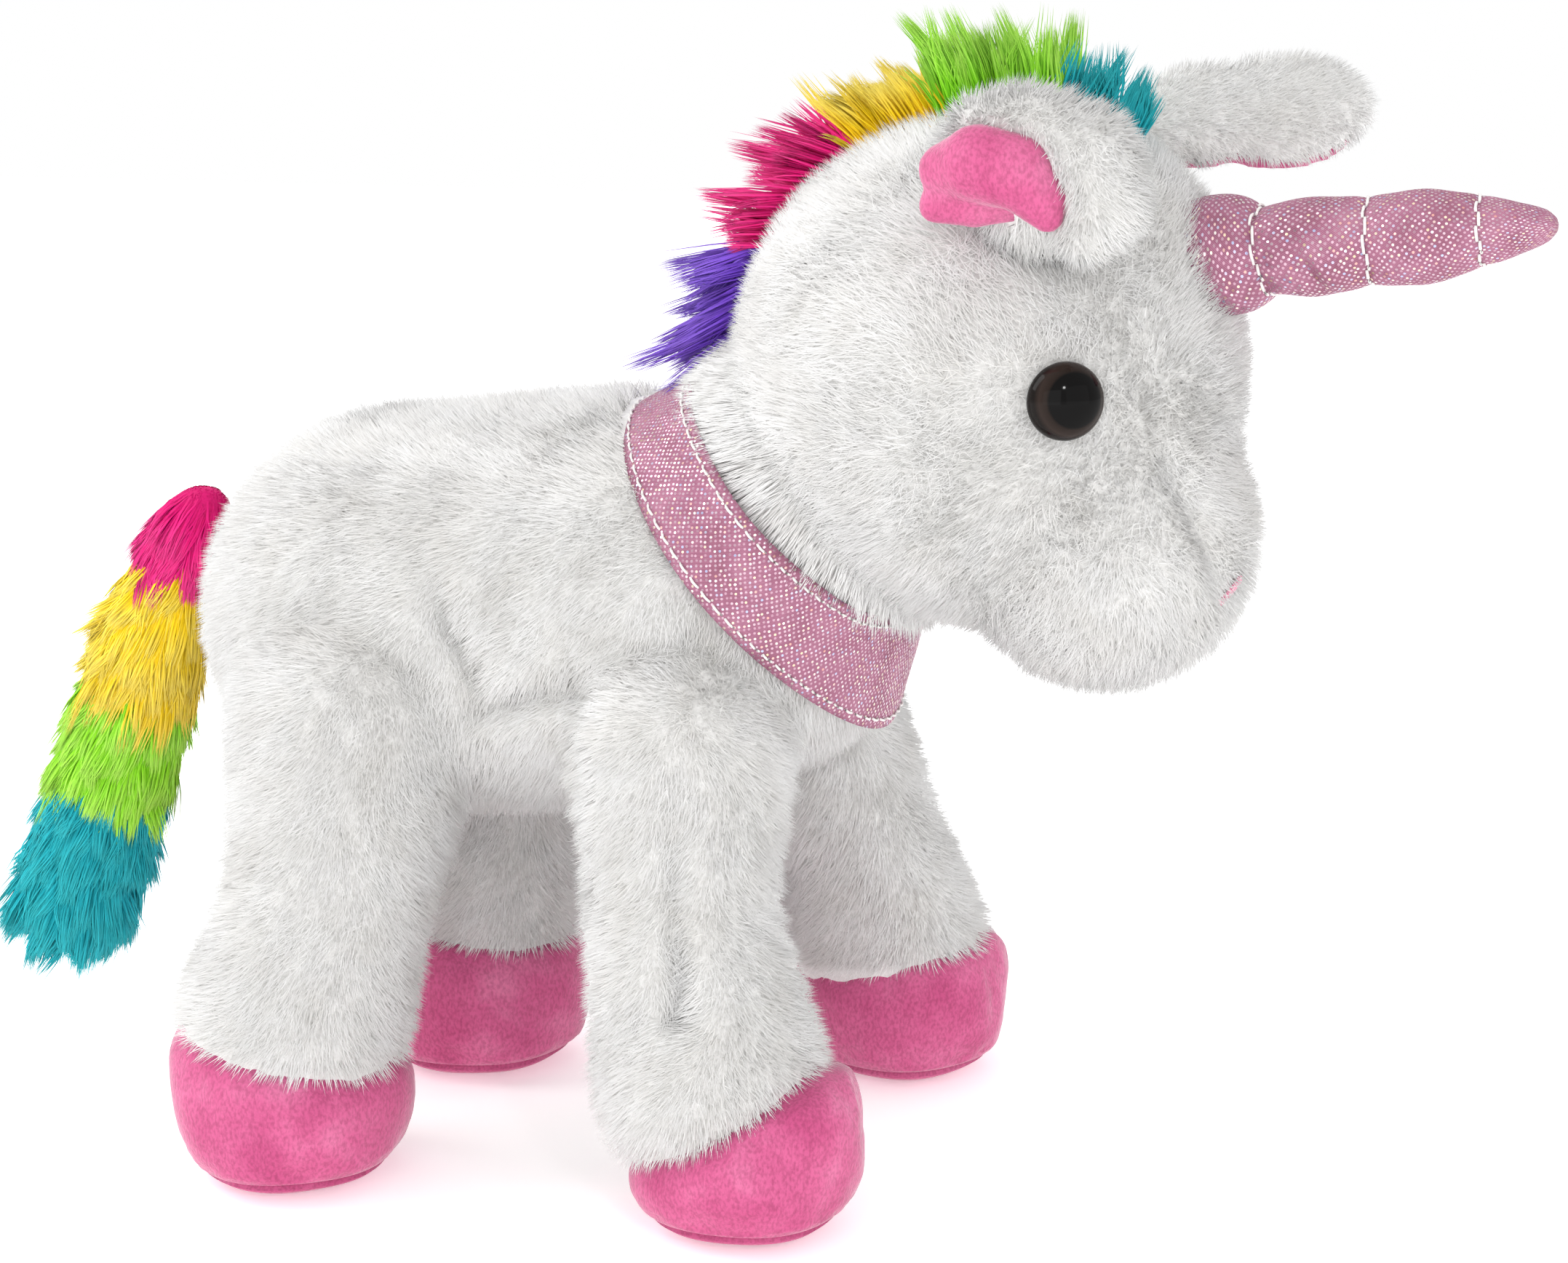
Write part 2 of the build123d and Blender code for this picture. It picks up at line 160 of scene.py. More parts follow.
# Long pile colours at root, middle and tip; the much darker roots are painted shade deep in the
# pile.
PILES = {
    "purple": ("#5A30B0", "#7A48D2", "#9C76EA"),
    "magenta": ("#D00A6A", "#EA167E", "#F44794"),
    "yellow": ("#FFCE00", "#FFDA1C", "#FFE86C"),
    "green": ("#76D40C", "#94E628", "#BCF466"),
    "teal": ("#068E9C", "#0CA4B2", "#34C2CA"),
}
LONG_PILE = {name: pile_material(f"polyester_long_pile_{name}", *codes, patch=5.0, roughness=0.6,
                                 Specular_IOR_Level=0.2)
             for name, codes in PILES.items()}


def velboa_material():
    """Velboa: knitted polyester with a 1.5 mm pile brushed one way, so it goes pale at the
    edges and shows soft finger marks."""
    material, tree, shader = new_material("velboa_pink_short_pile", Roughness=0.85,
                                          Sheen_Weight=0.5, Sheen_Roughness=0.35)
    place = add(tree, "TexCoord").outputs["Object"]
    marks = add(tree, "TexNoise", [("Vector", place)], Scale=1 / (12 * MM), Detail=4.0)
    brushed = add(tree, "Mapping", [("Vector", place)])
    brushed.inputs["Scale"].default_value = (1, 1, 0.6)
    nap = add(tree, "TexNoise", [("Vector", brushed.outputs["Vector"])], Scale=1 / (0.6 * MM),
              Detail=3.0)
    pink = ramp(tree, marks.outputs["Fac"], (0.3, "#BF4A7D"), (0.52, "#CD5C8C"), (0.75, "#D9769F"))
    grain = ramp(tree, nap.outputs["Fac"], (0.34, "#DED4D9"), (0.6, "#FFFFFF"))
    bump = add(tree, "Bump", [("Height", nap.outputs["Fac"])], Strength=0.4, Distance=0.4 * MM)
    wire(tree, shader, Base_Color=multiply(tree, pink, grain), Normal=bump.outputs["Normal"])
    return material


def foil_material():
    """Brushed pink tricot printed with round dots of holographic foil in close rows, 0.95 mm
    apart. Each dot is a tiny mirror that leans its own way and shows its own tint."""
    material, tree, shader = new_material("tricot_pink_holographic_foil_dots")
    cloth_map = add(tree, "UVMap", uv_map="cloth").outputs["UV"]
    turned = add(tree, "Mapping", [("Vector", cloth_map)])
    turned.inputs["Rotation"].default_value = (0, 0, math.radians(38))
    rows = turned.outputs["Vector"]
    dots = add(tree, "TexVoronoi", [("Vector", rows)], voronoi_dimensions="2D",
               Scale=1 / 0.95, Randomness=0.32)
    dot = add(tree, "MapRange", [("Value", dots.outputs["Distance"])])
    for name, value in (("From Min", 0.22), ("From Max", 0.31), ("To Min", 1.0), ("To Max", 0.0)):
        dot.inputs[name].default_value = value
    parts = add(tree, "SeparateColor", [("Color", dots.outputs["Color"])])
    silver = ramp(tree, parts.outputs["Red"], (0.0, "#B68E9F"), (0.4, "#CAAAB8"), (0.66, "#D9C2CC"),
                  (0.74, "#B9C4E8"), (0.82, "#F3DDB8"), (0.9, "#FFF6F2"), (1.0, "#E9A9A0"))
    place = add(tree, "TexCoord").outputs["Object"]
    worn = add(tree, "TexNoise", [("Vector", place)], Scale=1 / (8 * MM), Detail=3.0)
    cloth = ramp(tree, worn.outputs["Fac"], (0.3, "#9C5F77"), (0.5, "#AB6D88"), (0.72, "#B87D95"))
    knit = add(tree, "TexWave", [("Vector", rows)], wave_type="BANDS", Scale=0.5 / 0.45,
               Distortion=0.8, Detail=1.0)
    rib = ramp(tree, knit.outputs["Fac"], (0.2, "#D2CCD0"), (0.7, "#FFFFFF"))
    mixed = add(tree, "Mix", [(0, dot.outputs[0]), (6, multiply(tree, cloth, rib)), (7, silver)],
                data_type="RGBA")
    shine = add(tree, "Math", [(0, dot.outputs[0])], operation="MULTIPLY")
    shine.inputs[1].default_value = 0.8
    gloss = add(tree, "MapRange", [("Value", dot.outputs[0])])
    gloss.inputs["To Min"].default_value, gloss.inputs["To Max"].default_value = 0.7, 0.25
    lean = add(tree, "VectorMath", [(0, dots.outputs["Color"])], operation="SUBTRACT")
    lean.inputs[1].default_value = (0.5, 0.5, 0.5)
    tilt = add(tree, "VectorMath", [(0, lean.outputs[0])], operation="SCALE")
    tilt.inputs["Scale"].default_value = 0.6
    normal = add(tree, "NewGeometry").outputs["Normal"]
    facet = add(tree, "VectorMath", [(0, normal), (1, tilt.outputs[0])], operation="ADD")
    flat = add(tree, "VectorMath", [(0, facet.outputs[0])], operation="NORMALIZE")
    wire(tree, shader, Base_Color=mixed.outputs[2], Metallic=shine.outputs[0],
         Roughness=gloss.outputs[0], Normal=flat.outputs[0])
    return material


def plain_cloth_material(name, dark, light, pitch, roughness=0.9, bump_mm=0.15):
    """Woven or spun fibre: fine crossed threads with a little change of tone."""
    material, tree, shader = new_material(name, Roughness=roughness)
    place = add(tree, "TexCoord").outputs["Object"]
    grain = add(tree, "TexNoise", [("Vector", place)], Scale=1 / (pitch * MM), Detail=4.0)
    tone = ramp(tree, grain.outputs["Fac"], (0.3, dark), (0.7, light))
    bump = add(tree, "Bump", [("Height", grain.outputs["Fac"])], Strength=0.6,
               Distance=bump_mm * MM)
    wire(tree, shader, Base_Color=tone, Normal=bump.outputs["Normal"])
    return material


def eye_material():
    """Polished acrylic, brown round a large black pupil, with a hard clear gloss."""
    material, tree, shader = new_material("acrylic_brown_and_black_polished", Roughness=0.08,
                                          Specular_IOR_Level=0.12)
    ring = add(tree, "Attribute", attribute_name="pupil")
    wire(tree, shader, Base_Color=ramp(tree, ring.outputs["Fac"], (0.0, "#040303"),
                                       (0.68, "#060505"), (0.74, "#231A16"), (0.9, "#2E2420"),
                                       (1.0, "#15100E")))
    return material


VELBOA = velboa_material()
FOIL = foil_material()
LINING = plain_cloth_material("woven_polyester_lining_pink", "#A96488", "#C987A8", 0.4)
FILLING = plain_cloth_material("polyester_fibre_filling", "#DADADA", "#F4F4F4", 2.5, bump_mm=0.8)
BACKING = plain_cloth_material("plush_knitted_backing_white", "#D8D7D5", "#EDECEA", 0.8)
WHITE_THREAD = plain_cloth_material("polyester_thread_white", "#DDD8D4", "#FBFAF8", 0.25, 0.6,
                                    0.05)
PINK_THREAD = plain_cloth_material("rayon_thread_pink", "#DE7FA0", "#F4A3BC", 0.3, 0.45, 0.08)
EYE_ACRYLIC = eye_material()
WASHER_PLASTIC = plain_cloth_material("polyethylene_moulded_white", "#DEDEDC", "#EFEFED", 3.0, 0.45,
                                      0.02)

# ---- making and placing pieces


def deselect():
    bpy.ops.object.select_all(action="DESELECT")


def select(piece):
    deselect()
    piece.select_set(True)
    bpy.context.view_layer.objects.active = piece
    return piece


def settle(piece):
    """Puts a piece's place into its mesh."""
    select(piece)
    bpy.ops.object.transform_apply(location=True, rotation=True, scale=True)
    return piece


def dress(piece, material):
    piece.data.materials.clear()
    piece.data.materials.append(material)
    return piece


def apply_modifier(piece, kind, **settings):
    select(piece)
    modifier = piece.modifiers.new(kind.title(), kind)
    for name, value in settings.items():
        setattr(modifier, name, value)
    bpy.ops.object.modifier_apply(modifier=modifier.name)
    return piece


def add_ball(centre, radius, scale=(1, 1, 1)):
    """A ball, its radius in mm."""
    bpy.ops.mesh.primitive_uv_sphere_add(segments=40, ring_count=20, radius=radius * MM,
                                         location=centre, scale=scale)
    return settle(bpy.context.object)


def add_limb(start, end, start_radius, end_radius):
    """A cone from start to end, its radii in mm."""
    line = end - start
    turn = line.to_track_quat("Z", "Y").to_euler()
    bpy.ops.mesh.primitive_cone_add(vertices=40, radius1=start_radius * MM,
                                    radius2=end_radius * MM, depth=line.length,
                                    location=(start + end) / 2, rotation=turn)
    return settle(bpy.context.object)


def add_chain(points):
    """Balls at (place, radius) points, joined by cones."""
    parts = [add_ball(place, radius) for place, radius in points]
    for (a, ra), (b, rb) in zip(points, points[1:]):
        parts.append(add_limb(a, b, ra, rb))
    return parts


def one_skin(name, parts, voxel=3.0, rounds=12):
    """Joins parts into one closed skin, remeshed at voxel mm and smoothed for some rounds."""
    deselect()
    for part in parts:
        part.select_set(True)
    bpy.context.view_layer.objects.active = parts[0]
    bpy.ops.object.join()
    skin = bpy.context.object
    skin.name = name
    apply_modifier(skin, "REMESH", mode="VOXEL", voxel_size=voxel * MM)
    apply_modifier(skin, "SMOOTH", factor=0.5, iterations=rounds)
    bpy.ops.object.shade_smooth()
    return skin


def new_object(name, data):
    """A new object, put in the scene."""
    thing = bpy.data.objects.new(name, data)
    bpy.context.collection.objects.link(thing)
    return thing


def mesh_piece(name, vertices, faces, cloth=None):
    """A piece from points and faces; cloth gives each point's place on the flat cloth in mm."""
    mesh = bpy.data.meshes.new(name)
    mesh.from_pydata(np.asarray(vertices).tolist(), [], [list(map(int, f)) for f in faces])
    if cloth is not None:
        layer = mesh.uv_layers.new(name="cloth")
        for loop in mesh.loops:
            layer.data[loop.index].uv = cloth[loop.vertex_index]
    return new_object(name, mesh)


def tube_faces(rows, turns, start=0, seam=False):
    """The faces of a tube with closed ends, whose points go round row by row from number
    start. With a seam, each row ends in a second copy of its first point."""
    faces, width = [], turns + seam
    for i in range(rows - 1):
        a, b = start + i * width, start + (i + 1) * width
        for j in range(turns):
            k = j + 1 if seam else (j + 1) % turns
            faces.append([a + j, a + k, b + k, b + j])
    end = start + (rows - 1) * width
    faces.append([start + j for j in range(turns)][::-1])
    faces.append([end + j for j in range(turns)])
    return faces


def smooth(piece):
    select(piece)
    bpy.ops.object.shade_smooth()


# ---- fur


def unit(v):
    return v / np.maximum(np.linalg.norm(v, axis=-1, keepdims=True), 1e-12)


def skin_arrays(skin):
    """Vertices, vertex normals and triangles of a mesh."""
    mesh, arrays = skin.data, []
    mesh.calc_loop_triangles()
    for items, key, kind in ((mesh.vertices, "co", float), (mesh.vertices, "normal", float),
                             (mesh.loop_triangles, "vertices", int)):
        values = np.empty(len(items) * 3, kind)
        items.foreach_get(key, values)
        arrays.append(values.reshape(-1, 3))
    return arrays


def sow(skin, per_mm2, rng):
    """Even random roots over a skin, with its smooth normal at each."""
    points, normals, triangles = skin_arrays(skin)
    corners = points[triangles]
    areas = np.linalg.norm(np.cross(corners[:, 1] - corners[:, 0], corners[:, 2] - corners[:, 0]),
                           axis=1) / 2
    count = int(areas.sum() / MM**2 * per_mm2)
    picked = rng.choice(len(triangles), count, p=areas / areas.sum())
    u, v = rng.random(count), rng.random(count)
    over = u + v > 1
    u[over], v[over] = 1 - u[over], 1 - v[over]
    weights = np.stack([1 - u - v, u, v], 1)[:, :, None]
    roots = (corners[picked] * weights).sum(1)
    return roots, unit((normals[triangles[picked]] * weights).sum(1))


def clear_of(points, piece, gap):
    """Which points are outside a piece by more than gap mm."""
    keep = np.ones(len(points), bool)
    tree = BVHTree.FromObject(piece, bpy.context.evaluated_depsgraph_get())
    for i, point in enumerate(points):
        place, normal, _, _ = tree.find_nearest(Vector(point))
        keep[i] = (Vector(point) - place).dot(normal) >= gap * MM
    return keep


WAVE_COUNT = 24  # Random wave directions, which waves takes in turn.
WAVES = unit(np.random.default_rng(SEED).normal(size=(WAVE_COUNT, 3)))
PHASES = np.random.default_rng(SEED + 1).random((WAVE_COUNT, 3)) * 2 * math.pi


def waves(points, length, count, first=0):
    """A smooth random field: its value and its slope, from count waves about length mm long,
    first being the number of the first one."""
    value, slope = np.zeros(len(points)), np.zeros((len(points), 3))
    for i in range(first, first + count):
        stretch = 0.7 + 0.6 * ((i * 7) % 10) / 10
        k = WAVES[i % WAVE_COUNT] * 2 * math.pi / (length * MM) * stretch
        angle = points @ k + PHASES[i % WAVE_COUNT, i % 3]
        value += np.sin(angle)
        slope += np.cos(angle)[:, None] * unit(k[None])
    return value / math.sqrt(count), slope / math.sqrt(count)


def swirl(points, length):
    """Three smooth random fields as a vector."""
    return np.stack([waves(points, length, 5, 5 * i)[0] for i in range(3)], 1)


# How much a hair thins towards its tip, how much of its own roundness its normals keep, the
# share of its cell in the map that it fills, and the turn in radians from hair to hair.
TAPER, ROUNDNESS, CELL_FILL, HAIR_TURN = 0.45, 0.45, 0.7, 2.399


def hair_points(roots, start, bend, length, width, steps):
    """Three points round each hair at every step and one at its tip, and the way each looks."""
    spare = np.where(np.abs(start[:, 2:]) > 0.8, [[1.0, 0, 0]], [[0, 0, 1.0]])
    side = unit(np.cross(start, spare))
    other = np.cross(start, side)
    turn = (np.arange(len(roots)) * HAIR_TURN)[:, None]
    rows, looks = [], []
    for step in range(steps):
        s = step / steps
        middle = roots + length[:, None] * (s * start + s * s * bend)
        for corner in range(3):
            angle = turn + corner * 2 * math.pi / 3
            radial = side * np.cos(angle) + other * np.sin(angle)
            rows.append(middle + radial * (width * (1 - TAPER * s) / 2)[:, None])
            looks.append(radial)
    rows.append(roots + length[:, None] * (start + bend))
    looks.append(unit(start + 2 * bend))
    return np.stack(rows, 1).reshape(-1, 3), np.stack(looks, 1)


def hair_faces(steps):
    """One hair's faces: their corners, the place of each corner in a map, and their sizes."""
    corners, cells, sizes = [], [], []
    for step in range(steps):
        for side in range(3):
            a, b = 3 * step + side, 3 * step + (side + 1) % 3
            u, w, v = side / 3, (side + 1) / 3, step / steps
            if step < steps - 1:
                corners += [a, b, b + 3, a + 3]
                cells += [(u, v), (w, v), (w, v + 1 / steps), (u, v + 1 / steps)]
                sizes.append(4)
            else:
                corners += [a, b, 3 * steps]
                cells += [(u, v), (w, v), ((u + w) / 2, 1)]
                sizes.append(3)
    return np.array(corners), np.array(cells), sizes


def hairs(name, roots, start, bend, length, width, material, shade, steps=1):
    """Tapering three-sided hairs: each leaves its root along start and curves by bend. Their
    normals lean to shade, so that pile catches light as a soft surface. Each hair has a cell
    of its own in the map that a bake would use."""
    count = len(roots)
    points, looks = hair_points(roots, start, bend, length, width, steps)
    looks = unit(ROUNDNESS * looks + shade[:, None, :])
    corners, cells, sizes = hair_faces(steps)
    first = np.arange(count) * (3 * steps + 1)
    loops = (first[:, None] + corners[None]).ravel()
    totals = np.tile(sizes, count)
    mesh = bpy.data.meshes.new(name)
    mesh.vertices.add(len(points))
    mesh.vertices.foreach_set("co", points.ravel())
    mesh.loops.add(len(loops))
    mesh.loops.foreach_set("vertex_index", loops)
    mesh.polygons.add(len(totals))
    mesh.polygons.foreach_set("loop_start", np.concatenate([[0], np.cumsum(totals)[:-1]]))
    mesh.polygons.foreach_set("loop_total", totals)
    along = np.append(np.repeat(np.arange(steps) / steps, 3), 1.0)
    mesh.attributes.new("along", "FLOAT", "POINT").data.foreach_set("value", np.tile(along, count))
    across = math.ceil(math.sqrt(count))
    cell = np.stack([np.arange(count) % across, np.arange(count) // across], 1)
    inset = (1 - CELL_FILL) / 2
    uv = (cell[:, None, :] + inset + CELL_FILL * cells[None]).reshape(-1, 2) / across
    mesh.uv_layers.new(name="OFBake").data.foreach_set("uv", uv.ravel())
    mesh.update()
    mesh.polygons.foreach_set("use_smooth", np.ones(len(totals), bool))
    normals = mesh.attributes.new("custom_normal", "FLOAT_VECTOR", "POINT")
    normals.data.foreach_set("vector", looks.ravel())
    return dress(new_object(name, mesh), material)


def gather(roots, start, bend, length, spacing, pull, rng):
    """Long pile hangs together in locks: each hair's tip is drawn to the tip of the nearest
    of some random hairs, spacing mm apart. Returns the new bends and a number per lock."""
    cells = np.floor(roots / (spacing * MM)).astype(int)
    _, chosen = np.unique(cells, axis=0, return_index=True)
    chosen = rng.permutation(chosen)
    tree = KDTree(len(chosen))
    for i, index in enumerate(chosen):
        tree.insert(roots[index], i)
    tree.balance()
    lock = np.array([tree.find(root)[1] for root in roots])
    reach = roots + length[:, None] * (start + bend)
    middle = chosen[lock]
    drawn = reach + (reach[middle] - reach) * pull
    return (drawn - roots) / length[:, None] - start, lock


SWIRL_MM, TUFT_MM = 22, 5.5  # How far apart the plush's changes of direction and tufts are.


def plush(roots, normals, flow, rng, length=4.7):
    """Directions and sizes for short pile, length mm long: combed along flow, gathered into
    small tufts. Returns what hairs takes after its roots, and shade."""
    count = len(roots)
    flow = flow + swirl(roots, SWIRL_MM) * 0.35 + rng.normal(size=(count, 3)) * 0.3
    flow = unit(flow - (flow * normals).sum(1, keepdims=True) * normals)
    height, slope = waves(roots, TUFT_MM, 10)
    slope = slope - (slope * normals).sum(1, keepdims=True) * normals
    lift = 1.0 + rng.normal(size=count) * 0.14
    start = unit(normals * np.sin(lift)[:, None] + flow * np.cos(lift)[:, None] + slope * 0.12)
    bend = np.zeros_like(start)
    lengths = length * MM * (0.8 + 0.35 * rng.random(count) + 0.1 * height)
    widths = MM * (0.21 + 0.11 * rng.random(count)) * 1
    return start, bend, lengths, widths, unit(normals + 0.12 * slope)


def white_fur(name, roots, pile, steps=1, pick=slice(None)):
    """White plush from what plush returned, or the picked part of it."""
    start, bend, lengths, widths, shade = (values[pick] for values in pile)
    return hairs(name, roots[pick], start, bend, lengths, widths, WHITE_PLUSH,
                 shade, steps)


def near_line(points, line, reach):
    """1 on a line or its mirror image across the toy's middle, falling to 0 over reach mm."""
    folded = points.copy()
    middle = DRAWN_FROM.x
    folded[:, 0] = middle - np.abs(folded[:, 0] - middle)
    nearest = np.full(len(points), 1e9)
    for a, b in zip(line, line[1:]):
        a, b = np.array(a), np.array(b)
        share = np.clip((folded - a) @ (b - a) / ((b - a) @ (b - a)), 0, 1)[:, None]
        nearest = np.minimum(nearest, np.linalg.norm(folded - a - share * (b - a), axis=1))
    return np.exp(-(nearest / (reach * MM)) ** 2)


def press_folds(skin, lines, depth, reach):
    """Presses grooves depth mm deep into a skin, along lines and their mirror images."""
    points, _, _ = skin_arrays(skin)
    fold = np.max([near_line(points, line, reach) for line in lines], axis=0)
    normals = [v.normal.copy() for v in skin.data.vertices]
    for vertex, amount, normal in zip(skin.data.vertices, fold, normals):
        vertex.co -= normal * float(amount) * depth * MM
    skin.data.update()


def stuff(piece, pressure=4.0, slack=0.03, limit=0.7):
    """Simulates a cover as cloth with slack to spare, blown out by its filling, and held where
    the group named held is. No point ends more than limit mm from where it was."""
    before = [v.co.copy() for v in piece.data.vertices]
    settings = piece.modifiers.new("cloth", "CLOTH").settings
    settings.quality = 5
    settings.use_pressure, settings.uniform_pressure_force = True, pressure
    settings.shrink_min = -slack
    settings.effector_weights.gravity = 0
    settings.vertex_group_mass = "held"
    for frame_number in range(1, 21):
        bpy.context.scene.frame_set(frame_number)
    select(piece)
    bpy.ops.object.modifier_apply(modifier="cloth")
    bpy.context.scene.frame_set(1)
    for vertex, old in zip(piece.data.vertices, before):
        move = vertex.co - old
        vertex.co = old + move * min(1, limit * MM / max(move.length, 1e-9))
    piece.data.update()


# ---- the collar's line

COLLAR_MIDDLE = at(0, 2, 133)
COLLAR_RADIUS, COLLAR_CLOTH_RADIUS = 39.6, 40
COLLAR_TILT = math.radians(138)
COLLAR_AXIS = Vector((0, math.cos(COLLAR_TILT), math.sin(COLLAR_TILT)))
COLLAR_CHEST = Vector((0, -math.sin(COLLAR_TILT), math.cos(COLLAR_TILT)))


def collar_edges(degrees):
    """The collar's lower and upper edge, in mm along its axis, at angles from the chest."""
    low = -9.0 - 2.6 * np.exp(-(degrees / 60) ** 2) - 0.5 * np.sin(np.radians(degrees * 3))
    high = 8.0 + 1.5 * np.exp(-(degrees / 55) ** 2)
    return low, high


def collar_place(offset, degrees, lift=0.0):
    """A point lift mm off the collar: it lies flatter on the chest than round the back of the
    neck, and flares out over the chest."""
    a = math.radians(degrees)
    front = math.cos(a / 2) ** 4
    radius = COLLAR_RADIUS - (0.22 + 0.5 * front ** 3) * offset - 5.0 * front
    radius += 0.35 * math.sin(3 * a + 0.2 * offset)
    radius += 0.5 * math.sin(7 * a + 1) * max(0, offset) / 10 + lift
    out = COLLAR_CHEST * math.cos(a) + Vector((math.sin(a), 0, 0))
    return COLLAR_MIDDLE + (COLLAR_AXIS * offset + out * radius) * MM


def collar_offsets(points):
    """How far points lie along the collar's axis, in mm, and their angle from the chest."""
    away = (points - np.array(COLLAR_MIDDLE)) / MM
    offset = away @ np.array(COLLAR_AXIS)
    degrees = np.degrees(np.arctan2(away[:, 0], away @ np.array(COLLAR_CHEST)))
    return offset, degrees


def under_collar(points):
    """Points on the body that the collar or the neck covers."""
    offset, degrees = collar_offsets(points)
    return offset > collar_edges(degrees)[0] + 0.5


# ---- body and legs

# The balls that each leg's skin is made of, from the hip down: places and radii in mm.
LEGS = {
    "front_right": [(at(-33, 15, 94), 21), (at(-40.5, 12.5, 62), 16.6), (at(-42, 5, 29), 21.6)],
    "front_left": [(at(35, 16, 92), 20.5), (at(47, 5, 58), 16.6), (at(56.5, 0.5, 29), 21.4)],
    "rear_right": [(at(-31, 88, 93), 25), (at(-44.5, 88, 60), 19), (at(-48, 96, 31), 22.4)],
    "rear_left": [(at(31, 86, 92), 25), (at(31, 86, 58), 18), (at(29.5, 89, 28), 20)],
}
# Where plush meets hoof: the height at the middle of the leg in mm, and how fast it rises
# towards the tail.
HOOF_EDGE = {"front_right": (21, -0.40), "front_left": (29, -0.1), "rear_right": (31, 0.2),
             "rear_left": (33, 0.1)}
FOOT_REACH = 40  # Only roots this near a foot's middle, in mm, belong to its edge.
# Seams and folds pressed into the skin on each side: down the flank, along the belly, behind
# the front leg, and down its outside.
FOLDS = ([at(-42, 73, 138), at(-42, 65, 129), at(-42, 63, 119), at(-42, 57, 109),
          at(-42, 56, 97)],
         [at(-40, 57, 98.5), at(-40, 49, 101), at(-41, 40, 104.5), at(-43, 32, 107)],
         [at(-44, 31, 104), at(-46, 30, 88), at(-46, 31, 72)],
         [at(-55, 5, 108), at(-57, 6, 93), at(-57, 6.5, 77), at(-58, 6, 62), at(-60, 5, 48)])
PLUSH_PER_MM2 = 3.0


def body_skin():
    """The body and the legs in one skin."""
    parts = add_chain([(at(0, 31, 118), 41.8), (at(0, 91, 111), 41.5)])
    parts.append(add_ball(at(0, 14, 120), 36))
    for points in LEGS.values():
        parts += add_chain(points)
    skin = one_skin("body_skin", parts, 2.5, 12)
    press_folds(skin, FOLDS, 4.2, 3.2)
    return skin


def leg_weight(name, points):
    """How far down a leg each point lies: 0 at the body, 1 where it only follows the leg."""
    start, end = leg_span(name)
    line = np.array(end - start)
    return ((points - np.array(start)) @ line) / (line @ line)


def leg_span(name):
    """Where a leg's skin begins to follow the leg, and where it only follows the leg."""
    hip, knee = LEGS[name][0][0], LEGS[name][1][0]
    side = 1 if name.endswith("left") else -1
    start = hip + Vector((-side * 12 * MM, 0, -4 * MM))
    return start, knee + Vector((side * 2 * MM, 0, 4 * MM))


def split_body(points):
    """The region of each point: a leg's name, or torso."""
    region = np.full(len(points), "torso", dtype="U12")
    middle_x, middle_y = at(0, 0, 0).x, at(0, 52, 0).y
    for name in LEGS:
        left = (points[:, 0] > middle_x) == name.endswith("left")
        front = (points[:, 1] < middle_y) == name.startswith("front")
        region[left & front & (leg_weight(name, points) > 0)] = name
    return region


def part_of_skin(skin, name, keep):
    """The faces of a skin that are kept, as a piece of their own."""
    faces = [p.vertices[:] for p, k in zip(skin.data.polygons, keep) if k]
    used = sorted({v for f in faces for v in f})
    place = {v: i for i, v in enumerate(used)}
    points, _, _ = skin_arrays(skin)
    piece = mesh_piece(name, points[used], [[place[v] for v in f] for f in faces])
    smooth(piece)
    return piece


def body_roots(skin, rng):
    """Roots for the body's and legs' plush: none under the collar or below a hoof's edge."""
    roots, normals = sow(skin, PLUSH_PER_MM2, rng)
    keep = ~under_collar(roots)
    for name, points in LEGS.items():
        near = np.linalg.norm(roots - np.array(points[2][0]), axis=1) < FOOT_REACH * MM
        keep &= ~(near & (roots[:, 2] < hoof_edge(name, roots[:, 1]) * MM))
    return roots[keep], normals[keep]


def build_body():
    rng = np.random.default_rng(SEED)
    skin = body_skin()
    face_region = split_body(np.array([p.center for p in skin.data.polygons]))
    roots, normals = body_roots(skin, rng)
    pile = plush(roots, normals, np.array([0, 0.45, -1.0]), rng)
    root_region = split_body(roots)
    for name in ["torso", *LEGS]:
        title = "body" if name == "torso" else f"leg_{name}"
        piece = part_of_skin(skin, f"{title}_cover", face_region == name)
        dress(piece, BACKING)
        chosen = root_region == name
        if name == "torso":
            right = roots[:, 0] < at(0, 0, 0).x
            furs = [white_fur(f"{title}_cover_fur_{i + 1}", roots, pile, pick=chosen & half)
                    for i, half in enumerate((right, ~right))]
            for p in (piece, *furs):
                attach(p, "torso")
            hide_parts("body_side_left", "body_side_right", "belly_gusset",
                        "body_stuffing")
        else:
            for p in (piece, white_fur(f"{title}_cover_fur_1", roots, pile, pick=chosen)):
                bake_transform(p)
            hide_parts(f"leg_{name}_outer", f"leg_{name}_inner", f"leg_{name}_stuffing")
    bpy.data.objects.remove(skin)


def hoof_edge(name, y):
    """The height in mm at which a leg's plush ends, for places y along the body."""
    height, rise = HOOF_EDGE[name]
    return height + rise * (y - LEGS[name][2][0].y) / MM


# The hoof from the floor up, (height, radius) in mm, with the sole's seam as a groove at 4.1.
HOOF_PROFILE = ((0.0, 0.1), (0.0, 8.0), (0.2, 12.5), (0.9, 15.6), (2.0, 18.0), (3.3, 19.9),
                (4.1, 18.8), (4.9, 21.3), (7.5, 22.5), (11.5, 23.6), (16.0, 24.2), (22.0, 24.4),
                (28.0, 24.2), (33.0, 23.6), (37.0, 22.5), (40.0, 18.0), (42.0, 12.0), (43.0, 0.1))
# The sole and its seam stay put in the simulation, up to this height in mm.
HELD_BELOW = 5.3


